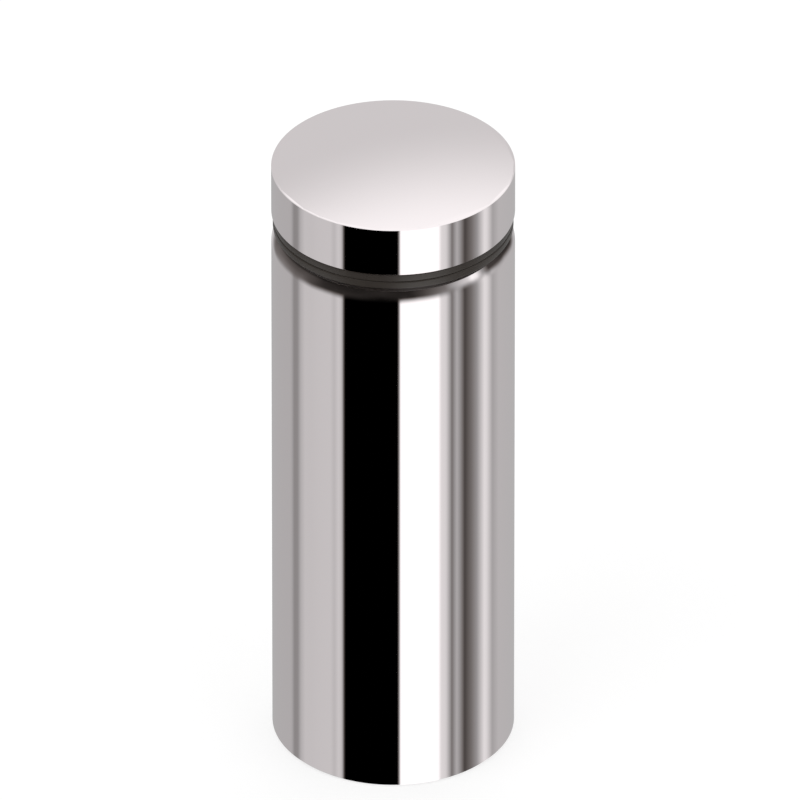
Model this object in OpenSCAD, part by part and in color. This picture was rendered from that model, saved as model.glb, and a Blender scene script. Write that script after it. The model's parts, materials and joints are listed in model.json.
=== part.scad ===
// Glass panel standoff: a turned barrel with a screw-on cap that clamps a drilled panel between two gaskets.
// The rear face stands on z = 0, and the cap is at the top. All sizes are in millimetres.

/* [Barrel and cap] */
// Outside diameter of the barrel and of the cap
standoff_d = 31.75; // [24:0.05:60]
// Length of the barrel from its rear face to its front face
barrel_len = 77.25; // [60:0.25:150]
// Radius of the round on the barrel's front rim
front_round = 2.4; // [0.5:0.1:3.5]
// Width of the chamfer round the barrel's rear face
rear_chamfer = 0.5; // [0.2:0.1:2]
// Thickness of the cap
cap_t = 7; // [5:0.1:14]
// Width of the chamfer round the cap's face
cap_chamfer = 0.2; // [0.1:0.05:1]
// Radius of the round on the cap's lower edge
cap_under_round = 0.2; // [0.1:0.05:0.6]
// Metal left between the stud's hole and the cap's face
cap_skin = 1.6; // [1:0.1:3]

/* [Gaskets] */
// Thickness of each gasket
gasket_t = 1.1; // [0.6:0.1:3]
// How far the edge of a gasket lies inside the outside of the barrel
gasket_inset = 0.2; // [0:0.05:2]
// Radius of the round on the outer edges of a gasket
gasket_round = 0.2; // [0.1:0.05:0.25]
// Clearance between a gasket's bore and the stud, on each side
gasket_bore_gap = 0.3; // [0.2:0.05:2]

/* [Stud and threads] */
// Outside diameter of the thread, 3/8 in
thread_d = 9.525; // [8:0.025:14]
// Clearance between a threaded hole and what is screwed into it, on each side
thread_gap = 0.05; // [0.02:0.01:0.1]
// Length of the stud
stud_len = 27.8; // [20:0.1:45]
// Width of the chamfer at each end of the stud
stud_chamfer = 0.9; // [0.3:0.1:1]
// Width across the flats of the hexagon socket in the stud's lower end, 3/16 in
socket_flats = 4.75; // [3:0.05:5.2]
// Depth of the hexagon socket
socket_depth = 4.5; // [2:0.1:8]
// Depth of full thread in the barrel's rear hole
rear_thread_depth = 20; // [12:0.5:36]
// Depth of hole left free below the stud in the barrel's front hole
front_hole_spare = 2.6; // [1:0.1:8]
// Width of the countersink at the mouth of each threaded hole
countersink = 0.6; // [0.2:0.1:1.2]
// Angle of the drill point at the bottom of the barrel's holes, in degrees
drill_angle = 118; // [90:1:140]

/* [Hidden] */
// Gap left between pieces that part when the cap is unscrewed
parting_gap = 0.02;
// Gap left above the stud in the cap's hole
stud_end_gap = 0.2;
// How far a cutter runs past the face that it opens
cut_over = 1;

standoff_r = standoff_d / 2;
thread_r = thread_d / 2;
hole_r = thread_r + thread_gap;
gasket_r = standoff_r - gasket_inset;
gasket_bore_r = thread_r + gasket_bore_gap;

// Heights of the stack, from the rear face up
barrel_gasket_z = barrel_len;
cap_gasket_z = barrel_gasket_z + gasket_t + parting_gap;
cap_z = cap_gasket_z + gasket_t + parting_gap;

// The stud reaches up into the cap and hangs down into the barrel
cap_hole_depth = cap_t - cap_skin;
stud_z = cap_z + cap_hole_depth - stud_end_gap - stud_len;
front_hole_depth = barrel_len - stud_z + front_hole_spare;

$fn = 128;

// What a round of radius r takes off an outer corner: the corner is at the origin and points along +X +Y
module round_off(r) {
    translate([-r, -r])
        difference() {
            square(r + cut_over);
            circle(r);
        }
}

// The room of a threaded hole: its mouth is at z = 0 and it runs down
module threaded_hole(depth) {
    translate([0, 0, -depth])
        cylinder(h = depth + cut_over, r = hole_r);
    translate([0, 0, -countersink])
        cylinder(h = countersink + cut_over, r1 = hole_r, r2 = hole_r + countersink + cut_over);
}

// A threaded hole that ends in the drill's point
module drilled_hole(depth) {
    threaded_hole(depth);
    point_h = hole_r / tan(drill_angle / 2);
    translate([0, 0, -depth - point_h])
        cylinder(h = point_h, r1 = 0, r2 = hole_r);
}

// The barrel: one turned bar with a round front rim and a threaded hole in each end
module barrel() {
    color("gainsboro")
        difference() {
            rotate_extrude()
                difference() {
                    polygon([
                        [0, 0],
                        [standoff_r - rear_chamfer, 0],
                        [standoff_r, rear_chamfer],
                        [standoff_r, barrel_len],
                        [0, barrel_len],
                    ]);
                    translate([standoff_r, barrel_len]) round_off(front_round);
                }
            translate([0, 0, barrel_len]) drilled_hole(front_hole_depth);
            mirror([0, 0, 1]) drilled_hole(rear_thread_depth);
        }
}

// A flat rubber ring with rounded outer edges
module gasket() {
    rotate_extrude()
        difference() {
            translate([gasket_bore_r, 0]) square([gasket_r - gasket_bore_r, gasket_t]);
            translate([gasket_r, gasket_t]) round_off(gasket_round);
            translate([gasket_r, 0]) mirror([0, 1]) round_off(gasket_round);
        }
}

// The gasket that stays on the barrel, behind the panel
module barrel_gasket() {
    color("dimgray") translate([0, 0, barrel_gasket_z]) gasket();
}

// The gasket under the cap, in front of the panel
module cap_gasket() {
    color("darkslategray") translate([0, 0, cap_gasket_z]) gasket();
}

// The cap: a thick disc with a blind threaded hole in its underside
module cap() {
    color("whitesmoke")
        translate([0, 0, cap_z])
        difference() {
            rotate_extrude()
                difference() {
                    polygon([
                        [0, 0],
                        [standoff_r, 0],
                        [standoff_r, cap_t - cap_chamfer],
                        [standoff_r - cap_chamfer, cap_t],
                        [0, cap_t],
                    ]);
                    translate([standoff_r, 0]) mirror([0, 1]) round_off(cap_under_round);
                }
            mirror([0, 0, 1]) threaded_hole(cap_hole_depth);
        }
}

// The stud: a headless screw that is fixed in the cap, with a hexagon socket in its lower end
module stud() {
    color("lightslategray")
        translate([0, 0, stud_z])
        difference() {
            rotate_extrude()
                polygon([
                    [0, 0],
                    [thread_r - stud_chamfer, 0],
                    [thread_r, stud_chamfer],
                    [thread_r, stud_len - stud_chamfer],
                    [thread_r - stud_chamfer, stud_len],
                    [0, stud_len],
                ]);
            translate([0, 0, -cut_over])
                cylinder(h = socket_depth + cut_over, r = socket_flats / sqrt(3), $fn = 6);
        }
}

barrel();
barrel_gasket();
cap_gasket();
cap();
stud();
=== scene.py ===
import json
import math

import bmesh
import bpy
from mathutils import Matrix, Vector


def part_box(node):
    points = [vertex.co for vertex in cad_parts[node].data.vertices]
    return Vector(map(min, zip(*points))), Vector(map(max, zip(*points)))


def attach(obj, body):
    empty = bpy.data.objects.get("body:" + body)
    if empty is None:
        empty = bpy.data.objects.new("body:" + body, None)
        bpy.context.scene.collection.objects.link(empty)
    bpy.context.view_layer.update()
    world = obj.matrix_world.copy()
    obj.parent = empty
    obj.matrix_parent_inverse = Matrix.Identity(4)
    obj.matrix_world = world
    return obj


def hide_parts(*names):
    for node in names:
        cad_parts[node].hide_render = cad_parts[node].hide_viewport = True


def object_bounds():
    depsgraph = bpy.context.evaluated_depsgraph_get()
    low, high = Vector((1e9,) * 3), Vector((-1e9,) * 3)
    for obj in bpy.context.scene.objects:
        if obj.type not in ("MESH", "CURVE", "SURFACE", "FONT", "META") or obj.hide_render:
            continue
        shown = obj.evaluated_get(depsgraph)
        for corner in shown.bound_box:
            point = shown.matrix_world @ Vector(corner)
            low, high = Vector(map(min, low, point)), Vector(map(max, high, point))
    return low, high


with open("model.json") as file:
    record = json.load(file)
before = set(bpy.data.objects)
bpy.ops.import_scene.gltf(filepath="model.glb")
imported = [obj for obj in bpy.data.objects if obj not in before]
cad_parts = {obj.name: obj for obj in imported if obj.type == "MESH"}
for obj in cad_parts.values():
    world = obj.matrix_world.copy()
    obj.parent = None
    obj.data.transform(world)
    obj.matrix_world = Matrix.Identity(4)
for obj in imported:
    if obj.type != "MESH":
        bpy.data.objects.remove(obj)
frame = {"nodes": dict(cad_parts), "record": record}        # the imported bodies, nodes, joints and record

mm = 0.001
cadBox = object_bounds()
barrelBox, capBox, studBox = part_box("barrel"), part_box("cap"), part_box("stud")
record = frame["record"]
touch = 0.001 * mm       # corners nearer than this count as one

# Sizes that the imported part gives
steelRadius = barrelBox[1].x
barrelTop = barrelBox[1].z
threadRadius = studBox[1].x
rearMount = next(mount for mount in record["mounts"] if mount["name"] == "rear_thread")
holeRadius = rearMount["dims"]["r_mm"] * mm
pitch = record["behaviour"]["couplings"][0]["ratio"] * 2 * math.pi
print("frame loaded")


# Leaves only this piece selected
def selectOnly(piece):
    bpy.ops.object.select_all(action="DESELECT")
    piece.select_set(True)
    bpy.context.view_layer.objects.active = piece


# Opens a piece for editing with nothing in it selected
def openPiece(piece):
    selectOnly(piece)
    bpy.ops.object.mode_set(mode="EDIT")
    bpy.ops.mesh.select_mode(type="VERT")
    bpy.ops.mesh.select_all(action="DESELECT")


def closePiece():
    bpy.ops.object.mode_set(mode="OBJECT")


# Names the new shape and moves its place into its mesh
def keepPlace(name):
    shape = bpy.context.active_object
    shape.name = name
    bpy.ops.object.transform_apply(location=True, rotation=True, scale=True)
    return shape


# A round bar on the Z axis, from low to high
def addBar(name, radius, low, high, sides):
    bpy.ops.object.select_all(action="DESELECT")
    bpy.ops.mesh.primitive_cylinder_add(vertices=sides, radius=radius, depth=high - low,
                                        location=(0, 0, (low + high) / 2))
    return keepPlace(name)


# A cone on the Z axis: lowRadius at low, highRadius at high
def addCone(name, lowRadius, highRadius, low, high, sides):
    bpy.ops.object.select_all(action="DESELECT")
    bpy.ops.mesh.primitive_cone_add(vertices=sides, radius1=lowRadius, radius2=highRadius,
                                    depth=high - low, location=(0, 0, (low + high) / 2))
    return keepPlace(name)


# Opens a piece with only the corners at this height selected
def openRing(piece, height):
    openPiece(piece)
    mesh = bmesh.from_edit_mesh(piece.data)
    for corner in mesh.verts:
        corner.select = abs(corner.co.z - height) < touch
    mesh.select_flush(True)
    bmesh.update_edit_mesh(piece.data)


# Bevels the edge ring that lies at this height
def bevelRing(bar, height, width, segments):
    openRing(bar, height)
    bpy.ops.mesh.bevel(offset=width, offset_type="OFFSET", segments=segments, profile=0.5,
                       affect="EDGES")
    closePiece()


def applyModifier(piece, modifier):
    selectOnly(piece)
    bpy.ops.object.modifier_apply(modifier=modifier.name)


# Cuts piece with tool, which is used up
def cutWith(piece, tool, operation="DIFFERENCE"):
    modifier = piece.modifiers.new("cut", "BOOLEAN")
    modifier.object = tool
    modifier.operation = operation
    modifier.solver = "EXACT"
    applyModifier(piece, modifier)
    bpy.data.objects.remove(tool)


# A solid helical thread: one pitch of its outline is drawn, screwed up the axis and trimmed flat
# at both ends
def addThread(name, outer, inner, low, high):
    bpy.ops.object.select_all(action="DESELECT")
    bpy.ops.mesh.primitive_plane_add(size=mm)
    thread = bpy.context.active_object
    thread.name = name
    openPiece(thread)
    bpy.ops.mesh.select_all(action="SELECT")
    bpy.ops.mesh.merge(type="CENTER")
    firstTurn = (math.floor(low / pitch) - 1) * pitch
    bpy.ops.transform.translate(value=(inner, 0, firstTurn))
    flank = (outer - inner) * math.tan(math.radians(threading["flankAngle"]))
    crest = pitch * threading["crestShare"]
    root = pitch - crest - 2 * flank
    for across, up in ((0, root), (outer - inner, flank), (0, crest), (inner - outer, flank)):
        bpy.ops.mesh.extrude_vertices_move(TRANSFORM_OT_translate={"value": (across, 0, up)})
    closePiece()
    screw = thread.modifiers.new("turns", "SCREW")
    screw.axis = "Z"
    screw.screw_offset = pitch
    screw.iterations = math.ceil((high - firstTurn) / pitch) + 1
    screw.steps = screw.render_steps = threadSteps
    screw.use_merge_vertices = False
    applyModifier(thread, screw)
    openPiece(thread)
    bpy.ops.mesh.select_all(action="SELECT")
    bpy.ops.mesh.remove_doubles(threshold=touch)
    for height, side in ((low, "clear_inner"), (high, "clear_outer")):
        bpy.ops.mesh.select_all(action="SELECT")
        bpy.ops.mesh.bisect(plane_co=(0, 0, height), plane_no=(0, 0, 1), use_fill=True,
                            **{side: True})
    bpy.ops.mesh.select_all(action="SELECT")
    bpy.ops.mesh.normals_make_consistent(inside=False)
    closePiece()
    return thread


# Merges the crumbs that cutting leaves and splits the many-sided faces, so that the mesh stays
# closed. Sharp corners stay sharp, and flat or straight faces keep their normals beside a round.
def shadeTurned(piece):
    openPiece(piece)
    bpy.ops.mesh.select_all(action="SELECT")
    bpy.ops.mesh.remove_doubles(threshold=touch)
    bpy.ops.mesh.dissolve_degenerate(threshold=touch)
    bpy.ops.mesh.select_all(action="SELECT")
    bpy.ops.mesh.vert_connect_concave()
    bpy.ops.mesh.select_mode(type="FACE")
    bpy.ops.mesh.select_face_by_sides(number=4, type="GREATER", extend=False)
    bpy.ops.mesh.quads_convert_to_tris(quad_method="BEAUTY", ngon_method="BEAUTY")
    closePiece()
    selectOnly(piece)
    bpy.ops.object.shade_smooth_by_angle(angle=math.radians(turning["sharpAngle"]))
    weighted = piece.modifiers.new("weighted", "WEIGHTED_NORMAL")
    weighted.mode = "FACE_AREA"
    weighted.weight = 100
    weighted.keep_sharp = True
    applyModifier(piece, weighted)


def ofMaterial(piece, material):
    piece.data.materials.clear()
    piece.data.materials.append(material)


turning = dict(sides=288, frontRound=2.4 * mm, roundSegments=28, rearChamfer=0.5 * mm,
               capChamfer=0.2 * mm, capChamferRise=0.1 * mm, underRound=0.2 * mm, underSegments=8,
               sharpAngle=28)
# depthShare and crestShare are a thread's depth and the width of its crest, as shares of the pitch
threading = dict(rearDepth=20 * mm, frontDepth=23 * mm, capDepth=5.4 * mm, countersink=0.6 * mm,
                 drillAngle=118, drillSpare=0.05 * mm, drillExtra=0.4 * mm, flankAngle=30,
                 depthShare=0.859 / 1.5875, crestShare=1 / 8, studChamfer=0.9 * mm,
                 socketFlats=4.75 * mm, socketDepth=4.5 * mm, overrun=1 * mm)
threadSteps = 64


# Countersinks the mouth of a hole at 45 degrees: mouth is its height, and way is 1 where the hole
# runs up and -1 where it runs down
def sink(piece, mouth, way):
    over = threading["overrun"]
    wide = holeRadius + threading["countersink"] + over
    outside, inside = mouth - way * over, mouth + way * (wide - over) / 2
    narrow = wide - abs(inside - outside)
    if way > 0:
        tool = addCone("sink", wide, narrow, outside, inside, threadSteps)
    else:
        tool = addCone("sink", narrow, wide, inside, outside, threadSteps)
    cutWith(piece, tool)


# Drills and taps a hole, then countersinks it
def tapHole(piece, mouth, way, depth):
    core = holeRadius - threading["depthShare"] * pitch
    outside = mouth - way * threading["overrun"]
    bottom = mouth + way * depth
    shoulder = bottom + way * threading["drillExtra"]
    drillRadius = core + threading["drillSpare"]
    drill = addBar("drill", drillRadius, min(shoulder, outside), max(shoulder, outside),
                   threadSteps)
    openRing(drill, shoulder)
    point = drillRadius / math.tan(math.radians(threading["drillAngle"] / 2))
    bpy.ops.mesh.extrude_region_move(TRANSFORM_OT_translate={"value": (0, 0, way * point)})
    bpy.ops.mesh.merge(type="CENTER")
    closePiece()
    cutWith(piece, drill)
    tap = addThread("tap", holeRadius, core, min(bottom, outside), max(bottom, outside))
    cutWith(piece, tap)
    sink(piece, mouth, way)


def makeBarrel():
    barrel = addBar("turned_barrel", steelRadius, barrelBox[0].z, barrelTop, turning["sides"])
    bevelRing(barrel, barrelTop, turning["frontRound"], turning["roundSegments"])
    bevelRing(barrel, barrelBox[0].z, turning["rearChamfer"], 1)
    tapHole(barrel, barrelBox[0].z, 1, threading["rearDepth"])
    tapHole(barrel, barrelTop, -1, threading["frontDepth"])
    shadeTurned(barrel)
    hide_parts("barrel")
    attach(barrel, "barrel")
    return barrel


# The cap's hole is left plain, because the stud fills it
def makeCap():
    cap = addBar("turned_cap", steelRadius, capBox[0].z, capBox[1].z, turning["sides"])
    bevelRing(cap, capBox[1].z, turning["capChamfer"], 1)
    openRing(cap, capBox[1].z - turning["capChamfer"])
    bpy.ops.transform.translate(value=(0, 0, turning["capChamferRise"]))
    closePiece()
    bevelRing(cap, capBox[0].z, turning["underRound"], turning["underSegments"])
    bottom = capBox[0].z + threading["capDepth"]
    drill = addBar("drill", holeRadius, capBox[0].z - threading["overrun"], bottom, threadSteps)
    cutWith(cap, drill)
    sink(cap, capBox[0].z, 1)
    shadeTurned(cap)
    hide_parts("cap")
    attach(cap, "cap")
    return cap


def makeStud():
    low, high = studBox[0].z, studBox[1].z
    over = threading["overrun"]
    core = threadRadius - threading["depthShare"] * pitch
    stud = addThread("threaded_stud", threadRadius, core, low - over, high + over)
    ends = addBar("ends", threadRadius + over, low, high, threadSteps)
    for height in (low, high):
        bevelRing(ends, height, threading["studChamfer"] + over, 1)
    cutWith(stud, ends, "INTERSECT")
    socketRadius = threading["socketFlats"] / math.sqrt(3)
    socket = addBar("socket", socketRadius, low - over, low + threading["socketDepth"], 6)
    cutWith(stud, socket)
    shadeTurned(stud)
    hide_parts("stud")
    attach(stud, "cap")
    return stud


gasketShape = dict(sides=192, edgeRound=0.2 * mm, underRound=0.28 * mm, roundSegments=5,
                   boreRadius=threadRadius + 0.3 * mm, boreSides=96)


# The ring's lower edge is rounded by lowRound, its upper edge by edgeRound
def makeGasket(name, node, body, lowRound):
    low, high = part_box(node)
    ring = addBar(name, high.x, low.z, high.z, gasketShape["sides"])
    bevelRing(ring, low.z, lowRound, gasketShape["roundSegments"])
    bevelRing(ring, high.z, gasketShape["edgeRound"], gasketShape["roundSegments"])
    over = threading["overrun"]
    bore = addBar("bore", gasketShape["boreRadius"], low.z - over, high.z + over,
                  gasketShape["boreSides"])
    cutWith(ring, bore)
    shadeTurned(ring)
    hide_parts(node)
    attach(ring, body)
    return ring


def newMaterial(name):
    material = bpy.data.materials.new(name)
    material.use_nodes = True
    return material, material.node_tree, material.node_tree.nodes["Principled BSDF"]


# Sets a socket to a number, or links it to another node's output
def feed(tree, socket, value):
    if isinstance(value, (int, float)):
        socket.default_value = value
    else:
        tree.links.new(value, socket)


def addMath(tree, operation, first, second=0.0):
    node = tree.nodes.new("ShaderNodeMath")
    node.operation = operation
    feed(tree, node.inputs[0], first)
    feed(tree, node.inputs[1], second)
    return node.outputs[0]


def addNoise(tree, coordinates, scale, detail=2.0):
    noise = tree.nodes.new("ShaderNodeTexNoise")
    noise.inputs["Scale"].default_value = scale
    noise.inputs["Detail"].default_value = detail
    tree.links.new(coordinates, noise.inputs["Vector"])
    return noise.outputs["Fac"]


# Spreads a value between 0 and 1 over low to high
def spread(tree, value, low, high):
    node = tree.nodes.new("ShaderNodeMapRange")
    node.inputs["To Min"].default_value = low
    node.inputs["To Max"].default_value = high
    tree.links.new(value, node.inputs["Value"])
    return node.outputs["Result"]


def addBump(tree, height, distance, strength=1.0, under=None):
    bump = tree.nodes.new("ShaderNodeBump")
    bump.inputs["Distance"].default_value = distance
    bump.inputs["Strength"].default_value = strength
    tree.links.new(height, bump.inputs["Height"])
    if under is not None:
        tree.links.new(under, bump.inputs["Normal"])
    return bump.outputs["Normal"]


# crownSlope is how far the cap's face leans at its edge, and it stops crownEnd inside the chamfer
polish = dict(colour=(0.965, 0.905, 0.915), roughLow=0.012, roughHigh=0.045, smear=55,
              smearDetail=4.0, wave=45, waveHeight=0.001 * mm, crownSlope=math.radians(3.0),
              crownEnd=0.02 * mm)


# Mirror polish on stainless steel; a crowned face bends its reflections as a buffed flat face does
def mirrorSteel(name, crowned):
    material, tree, shader = newMaterial(name)
    place = tree.nodes.new("ShaderNodeTexCoord").outputs["Object"]
    shader.inputs["Base Color"].default_value = (*polish["colour"], 1)
    shader.inputs["Metallic"].default_value = 1.0
    smear = addNoise(tree, place, polish["smear"], polish["smearDetail"])
    rough = spread(tree, smear, polish["roughLow"], polish["roughHigh"])
    tree.links.new(rough, shader.inputs["Roughness"])
    normal = addBump(tree, addNoise(tree, place, polish["wave"]), polish["waveHeight"])
    if crowned:
        split = tree.nodes.new("ShaderNodeSeparateXYZ")
        tree.links.new(place, split.inputs[0])
        across = addMath(tree, "MULTIPLY", split.outputs["X"], split.outputs["X"])
        along = addMath(tree, "MULTIPLY", split.outputs["Y"], split.outputs["Y"])
        drop = polish["crownSlope"] / (2 * steelRadius)
        end = steelRadius - turning["capChamfer"] - polish["crownEnd"]
        reach = addMath(tree, "MINIMUM", addMath(tree, "ADD", across, along), end ** 2)
        height = addMath(tree, "MULTIPLY", reach, -drop)
        normal = addBump(tree, height, 1.0, under=normal)
    tree.links.new(normal, shader.inputs["Normal"])
    return material


steelLook = dict(colour=(0.62, 0.61, 0.60), smear=900, smearDetail=3.0, roughLow=0.18,
                 roughHigh=0.34)


# The stud's steel, as it leaves the lathe
def plainSteel():
    material, tree, shader = newMaterial("plain_steel")
    place = tree.nodes.new("ShaderNodeTexCoord").outputs["Object"]
    shader.inputs["Base Color"].default_value = (*steelLook["colour"], 1)
    shader.inputs["Metallic"].default_value = 1.0
    smear = addNoise(tree, place, steelLook["smear"], steelLook["smearDetail"])
    rough = spread(tree, smear, steelLook["roughLow"], steelLook["roughHigh"])
    tree.links.new(rough, shader.inputs["Roughness"])
    return material


rubberLook = dict(dark=(0.031, 0.025, 0.0205), pale=(0.046, 0.037, 0.0305), cloud=260,
                  cloudDetail=3.0, roughLow=0.32, roughHigh=0.44, grain=2600, grainDetail=4.0,
                  grainHeight=0.01 * mm, grainStrength=0.5)


# Matt rubber with a fine grain, a little paler in clouds
def blackRubber():
    material, tree, shader = newMaterial("black_rubber")
    place = tree.nodes.new("ShaderNodeTexCoord").outputs["Object"]
    cloud = addNoise(tree, place, rubberLook["cloud"], rubberLook["cloudDetail"])
    ramp = tree.nodes.new("ShaderNodeValToRGB")
    ramp.color_ramp.elements[0].color = (*rubberLook["dark"], 1)
    ramp.color_ramp.elements[1].color = (*rubberLook["pale"], 1)
    tree.links.new(cloud, ramp.inputs["Fac"])
    tree.links.new(ramp.outputs["Color"], shader.inputs["Base Color"])
    rough = spread(tree, cloud, rubberLook["roughLow"], rubberLook["roughHigh"])
    tree.links.new(rough, shader.inputs["Roughness"])
    grain = addNoise(tree, place, rubberLook["grain"], rubberLook["grainDetail"])
    grain = addBump(tree, grain, rubberLook["grainHeight"], rubberLook["grainStrength"])
    tree.links.new(grain, shader.inputs["Normal"])
    return material


# climb is how far the camera looks down, in degrees, and frameWidth is what it spans at the part
viewpoint = dict(climb=32.8, lens=1500, frameWidth=104.5 * mm, aimRight=0.89 * mm,
                 aimHeight=50.1 * mm, clipNear=0.1, clipShare=3)


# Brightness of what the steel mirrors to the camera, by the way that the mirroring face looks.
# Each pair is the face's turn in degrees, where 0 looks to the camera's side and 90 to its right,
# and a level from 0, black, to 255, white. In horizon the second number is a tilt in degrees, and
# in dusk it is a share.
# A face tilted up by less than its horizon sees lower. One tilted more sees upper, then high, then
# high darkened by dusk, and past ceilingTilt it sees ceiling. What lies straight down is floor.
# Behind the part is a sky that rises from skyLow to skyHigh, each a climb in degrees and a level.
# shade tints the dark tones, plain is the light on what isn't a mirror, and metal is how much of
# the light steel gives back.
studio = dict(
    lower=[(-90, 170), (-58.2, 171), (-56.6, 167), (-54.5, 136), (-51.7, 138), (-49.5, 173),
           (-46.5, 190), (-31, 193), (-29, 182), (-26.5, 199), (-25, 184), (-23.75, 0), (2.6, 0),
           (3.6, 262), (21.7, 262), (23.3, 215), (25.7, 208), (28.9, 112), (31.6, 170), (33.5, 140),
           (36, 66), (40, 110), (43.5, 146), (48.5, 219), (50.2, 215), (54.6, 160), (60, 178),
           (90, 172)],
    upper=[(-90, 129), (-75, 112), (-66, 119), (-60, 112), (-54, 97), (-49, 98), (-44, 75),
           (-39, 57), (-34, 46), (-29, 47), (-24, 44), (-16, 42), (-6, 22), (2.5, 34), (5, 48),
           (10, 36), (15, 72), (20, 104), (25, 129), (30, 121), (33, 159), (36, 164), (39, 160),
           (42, 183), (45, 186), (48, 123), (51, 125), (55, 188), (60, 164), (68, 124), (78, 56)],
    high=[(-90, 72), (-75, 99), (-60, 80), (-54, 74), (-48, 76), (-42, 67), (-36, 43), (-28, 36),
          (-18, 31), (-6, 39), (3, 34), (8, 36), (14, 62), (20, 90), (26, 110), (31, 160),
          (35, 185), (39, 205), (42, 250), (45, 239), (49, 155), (54, 61), (62, 59), (72, 51)],
    horizon=[(-90, 13), (-75, 11), (-62, 10), (-54, 10), (-48, 11), (-42, 10), (-36, 12), (-30, 12),
             (-25, 11), (-22, 16), (-10, 20), (1, 21), (3.5, 14), (5, 15), (12, 17), (20, 17),
             (27, 18), (32, 22), (36, 24), (40, 25), (44, 24), (47, 27), (50, 29), (54, 19),
             (60, 19), (68, 28), (80, 26)],
    ceiling=[(-90, 197), (-75, 201), (-60, 204), (-40, 225), (-20, 240), (0, 243), (20, 246),
             (40, 243), (60, 236), (80, 218), (90, 212)],
    dusk=[(-90, 0.4), (-38, 0.3), (-28, 0.5), (-22, 0.85), (25, 0.9), (50, 1), (60, 1), (66, 0.6),
          (90, 0.3)],
    horizonSoft=12, highFrom=18, highTo=40, duskFrom=39, duskTo=49, ceilingTilt=51, ceilingSoft=1.5,
    floor=140, floorFrom=80, floorTo=87,
    skyLow=(28.9, 200), skyHigh=(40.2, 248), skyFrom=135, skyTo=158,
    skyLean=(2.3, 1.37), skyReach=0.056, skyEdge=1.2,
    shade=(1.0, 0.885, 0.81), shadeEnd=0.3, plain=0.62, metal=0.93,
)


# The light that a level from 0 to 255 stands for
def linearLevel(level):
    share = level / 255
    return share / 12.92 if share <= 0.04045 else ((share + 0.055) / 1.055) ** 2.4


# A ramp over the half circle from -90 to 90 degrees, with one stop at each listed turn
def turnRamp(tree, turn, stops, toValue):
    ramp = tree.nodes.new("ShaderNodeValToRGB")
    elements = ramp.color_ramp.elements
    while len(elements) < len(stops):
        elements.new(0.5)
    for element, (degrees, value) in zip(elements, stops):
        element.position = (degrees + 90) / 180
        element.color = (*[toValue(value)] * 3, 1)
    tree.links.new(turn, ramp.inputs["Fac"])
    return ramp.outputs["Color"]


# Rises softly from 0 to 1 as a value goes from start to end
def blendBetween(tree, value, start, end):
    node = tree.nodes.new("ShaderNodeMapRange")
    node.interpolation_type = "SMOOTHSTEP"
    for socket, number in (("From Min", start), ("From Max", end), ("Value", value)):
        feed(tree, node.inputs[socket], number)
    return node.outputs["Result"]


def mixValues(tree, share, first, second):
    node = tree.nodes.new("ShaderNodeMix")
    node.data_type = "FLOAT"
    for socket, value in (("Factor", share), ("A", first), ("B", second)):
        feed(tree, node.inputs[socket], value)
    return node.outputs["Result"]


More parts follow.
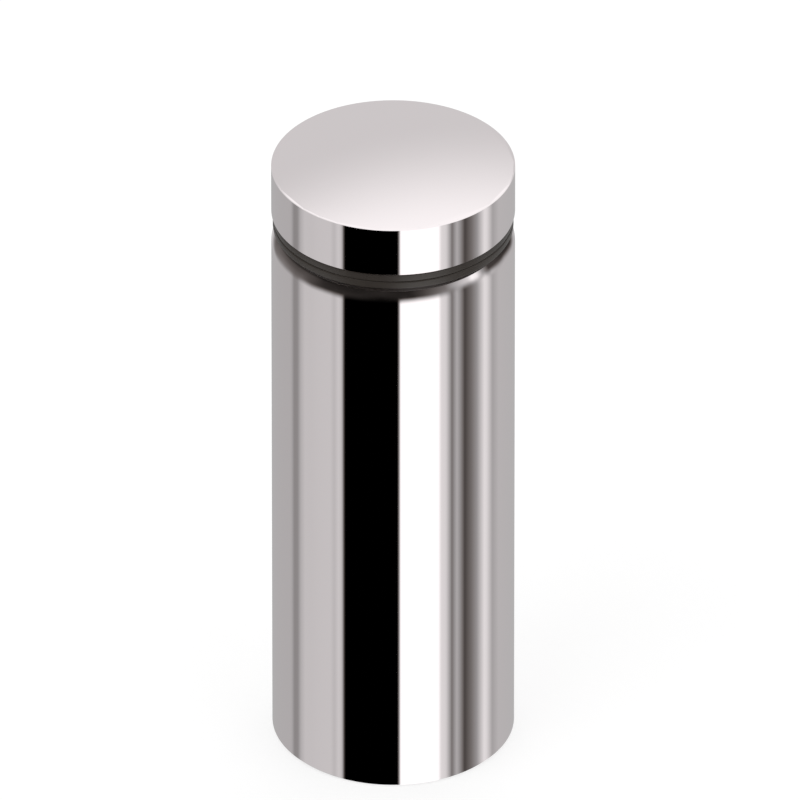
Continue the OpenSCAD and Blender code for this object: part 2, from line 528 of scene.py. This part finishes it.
def makeWorld():
    world = bpy.data.worlds.new("studio")
    bpy.context.scene.world = world
    world.use_nodes = True
    tree = world.node_tree
    tree.nodes.clear()
    toDegrees = 180 / math.pi
    way = tree.nodes.new("ShaderNodeTexCoord").outputs["Generated"]
    split = tree.nodes.new("ShaderNodeSeparateXYZ")
    tree.links.new(way, split.inputs[0])
    ahead = addMath(tree, "MULTIPLY", split.outputs["Y"], -1.0)
    azimuth = addMath(tree, "ARCTAN2", split.outputs["X"], ahead)
    climb = addMath(tree, "MULTIPLY", addMath(tree, "ARCSINE", split.outputs["Z"]), toDegrees)

    # the turn and tilt of a face that mirrors this direction to the front of the studio
    front = math.radians(viewpoint["climb"])
    rise = addMath(tree, "ADD", split.outputs["Z"], math.sin(front))
    forward = addMath(tree, "SUBTRACT", math.cos(front), split.outputs["Y"])
    across = addMath(tree, "MULTIPLY", split.outputs["X"], split.outputs["X"])
    flat = addMath(tree, "ADD", across, addMath(tree, "MULTIPLY", forward, forward))
    tilt = addMath(tree, "ARCTAN2", rise, addMath(tree, "SQRT", flat))
    tilt = addMath(tree, "MULTIPLY", tilt, toDegrees)
    turn = addMath(tree, "ARCTAN2", split.outputs["X"], forward)
    turn = addMath(tree, "ADD", addMath(tree, "DIVIDE", turn, math.pi), 0.5)

    def mirrored(level):
        return linearLevel(level) / studio["metal"]

    lower = turnRamp(tree, turn, studio["lower"], mirrored)
    dip = addMath(tree, "MULTIPLY", climb, -1.0)
    under = blendBetween(tree, dip, studio["floorFrom"], studio["floorTo"])
    lower = mixValues(tree, under, lower, mirrored(studio["floor"]))
    upper = turnRamp(tree, turn, studio["upper"], mirrored)
    high = turnRamp(tree, turn, studio["high"], mirrored)
    toHigh = blendBetween(tree, tilt, studio["highFrom"], studio["highTo"])
    upper = mixValues(tree, toHigh, upper, high)
    dusk = turnRamp(tree, turn, studio["dusk"], lambda share: share)
    toDusk = blendBetween(tree, tilt, studio["duskFrom"], studio["duskTo"])
    upper = addMath(tree, "MULTIPLY", upper, mixValues(tree, toDusk, 1.0, dusk))
    horizon = turnRamp(tree, turn, studio["horizon"], lambda degrees: (degrees + 90) / 180)
    horizon = addMath(tree, "SUBTRACT", addMath(tree, "MULTIPLY", horizon, 180), 90)
    horizonStart = addMath(tree, "SUBTRACT", horizon, studio["horizonSoft"])
    horizonEnd = addMath(tree, "ADD", horizon, studio["horizonSoft"])
    above = blendBetween(tree, tilt, horizonStart, horizonEnd)
    ceiling = turnRamp(tree, turn, studio["ceiling"], mirrored)
    edge = studio["ceilingTilt"] - studio["ceilingSoft"]
    upper = mixValues(tree, blendBetween(tree, tilt, edge, studio["ceilingTilt"]), upper, ceiling)

    # behind the part the sky rises in brightness, leaning a little to the right
    (lowClimb, lowSky), (highClimb, highSky) = studio["skyLow"], studio["skyHigh"]
    side = addMath(tree, "DIVIDE", split.outputs["X"], studio["skyReach"])
    side = addMath(tree, "MINIMUM", side, studio["skyEdge"])
    side = addMath(tree, "MAXIMUM", side, -studio["skyEdge"])
    straight, curved = studio["skyLean"]
    bend = addMath(tree, "MULTIPLY", addMath(tree, "MULTIPLY", side, side), curved)
    lean = addMath(tree, "SUBTRACT", addMath(tree, "MULTIPLY", side, straight), bend)
    sky = blendBetween(tree, addMath(tree, "ADD", climb, lean), lowClimb, highClimb)
    sky = mixValues(tree, sky, mirrored(lowSky), mirrored(highSky))
    aside = addMath(tree, "ABSOLUTE", addMath(tree, "MULTIPLY", azimuth, toDegrees))
    behind = blendBetween(tree, aside, studio["skyFrom"], studio["skyTo"])
    upper = mixValues(tree, behind, upper, sky)
    level = mixValues(tree, above, lower, upper)

    # mirror rays see the studio, the camera sees white, and the rest is an even light
    rays = tree.nodes.new("ShaderNodeLightPath")
    lit = mixValues(tree, rays.outputs["Is Glossy Ray"], studio["plain"], level)
    seen = addMath(tree, "MAXIMUM", rays.outputs["Is Camera Ray"],
                   rays.outputs["Is Transmission Ray"])
    strength = mixValues(tree, seen, lit, 1.0)

    # the dark tones are a little warm
    background = tree.nodes.new("ShaderNodeBackground")
    warmth = tree.nodes.new("ShaderNodeValToRGB")
    warmth.color_ramp.elements[0].color = (*studio["shade"], 1)
    warmth.color_ramp.elements[1].position = studio["shadeEnd"]
    warmth.color_ramp.elements[1].color = (1, 1, 1, 1)
    tree.links.new(strength, warmth.inputs["Fac"])
    tree.links.new(warmth.outputs["Color"], background.inputs["Color"])
    tree.links.new(strength, background.inputs["Strength"])
    output = tree.nodes.new("ShaderNodeOutputWorld")
    tree.links.new(background.outputs[0], output.inputs["Surface"])


floorLook = dict(radius=8, sides=96, drop=0.02 * mm, white=0.92, rough=0.9, share=0.62, glow=1.16)


def makeFloor():
    bpy.ops.object.select_all(action="DESELECT")
    bpy.ops.mesh.primitive_circle_add(vertices=floorLook["sides"], radius=floorLook["radius"],
                                      fill_type="NGON",
                                      location=(0, 0, cadBox[0].z - floorLook["drop"]))
    floor = keepPlace("floor")
    floor.visible_glossy = False
    material, tree, shader = newMaterial("white_floor")
    shader.inputs["Base Color"].default_value = (*[floorLook["white"]] * 3, 1)
    shader.inputs["Roughness"].default_value = floorLook["rough"]
    shader.inputs["Specular IOR Level"].default_value = 0.0
    # to the camera the floor is mostly plain white, and keeps a faint shadow
    glow = tree.nodes.new("ShaderNodeEmission")
    glow.inputs["Color"].default_value = (1, 1, 1, 1)
    glow.inputs["Strength"].default_value = floorLook["glow"]
    blend = tree.nodes.new("ShaderNodeMixShader")
    rays = tree.nodes.new("ShaderNodeLightPath")
    share = addMath(tree, "MULTIPLY", rays.outputs["Is Camera Ray"], floorLook["share"])
    tree.links.new(share, blend.inputs[0])
    tree.links.new(shader.outputs[0], blend.inputs[1])
    tree.links.new(glow.outputs[0], blend.inputs[2])
    tree.links.new(blend.outputs[0], tree.nodes["Material Output"].inputs["Surface"])
    ofMaterial(floor, material)


# Soft lamps round the part: places and sizes in metres, power in watts
lamps = [
    dict(name="key", place=(-0.5, -0.45, 0.8), size=0.7, power=2.6),
    dict(name="fill", place=(0.6, -0.5, 0.6), size=0.8, power=1.4),
    dict(name="back", place=(0.1, 0.7, 0.7), size=0.8, power=1.2),
]


def makeLamps():
    middle = (cadBox[0] + cadBox[1]) / 2
    for lamp in lamps:
        light = bpy.data.lights.new(lamp["name"], "AREA")
        light.size = lamp["size"]
        light.energy = lamp["power"]
        holder = bpy.data.objects.new(lamp["name"], light)
        holder.location = lamp["place"]
        aim = middle - Vector(lamp["place"])
        holder.rotation_euler = aim.to_track_quat("-Z", "Y").to_euler()
        holder.visible_glossy = False
        bpy.context.collection.objects.link(holder)


def makeCamera():
    data = bpy.data.cameras.new("camera")
    data.lens = viewpoint["lens"]
    camera = bpy.data.objects.new("camera", data)
    climb = math.radians(viewpoint["climb"])
    away = Vector((0, -math.cos(climb), math.sin(climb)))
    distance = viewpoint["frameWidth"] * data.lens / data.sensor_width
    aim = Vector((viewpoint["aimRight"], 0, viewpoint["aimHeight"]))
    camera.location = aim + away * distance
    camera.rotation_euler = away.to_track_quat("Z", "Y").to_euler()
    data.clip_start = viewpoint["clipNear"]
    data.clip_end = viewpoint["clipShare"] * distance
    bpy.context.collection.objects.link(camera)
    bpy.context.scene.camera = camera


makeCamera()
makeWorld()
makeFloor()
makeLamps()
bpy.context.scene.view_settings.view_transform = "Standard"
print("studio ready")

barrel = makeBarrel()
print("barrel turned")
cap = makeCap()
stud = makeStud()
print("cap and stud turned")
barrelGasket = makeGasket("lower_ring", "barrel_gasket", "barrel", gasketShape["underRound"])
capGasket = makeGasket("upper_ring", "cap_gasket", "ring", gasketShape["edgeRound"])
print("gaskets made")

rubber = blackRubber()
finishes = dict(barrel=mirrorSteel("mirror_steel", crowned=False),
                cap=mirrorSteel("mirror_steel_face", crowned=True),
                stud=plainSteel(), barrel_gasket=rubber, cap_gasket=rubber)
pieces = dict(barrel=barrel, cap=cap, stud=stud, barrel_gasket=barrelGasket,
              cap_gasket=capGasket)
for name, finish in finishes.items():
    ofMaterial(pieces[name], finish)
    ofMaterial(frame["nodes"][name], finish)
print("finishes set")
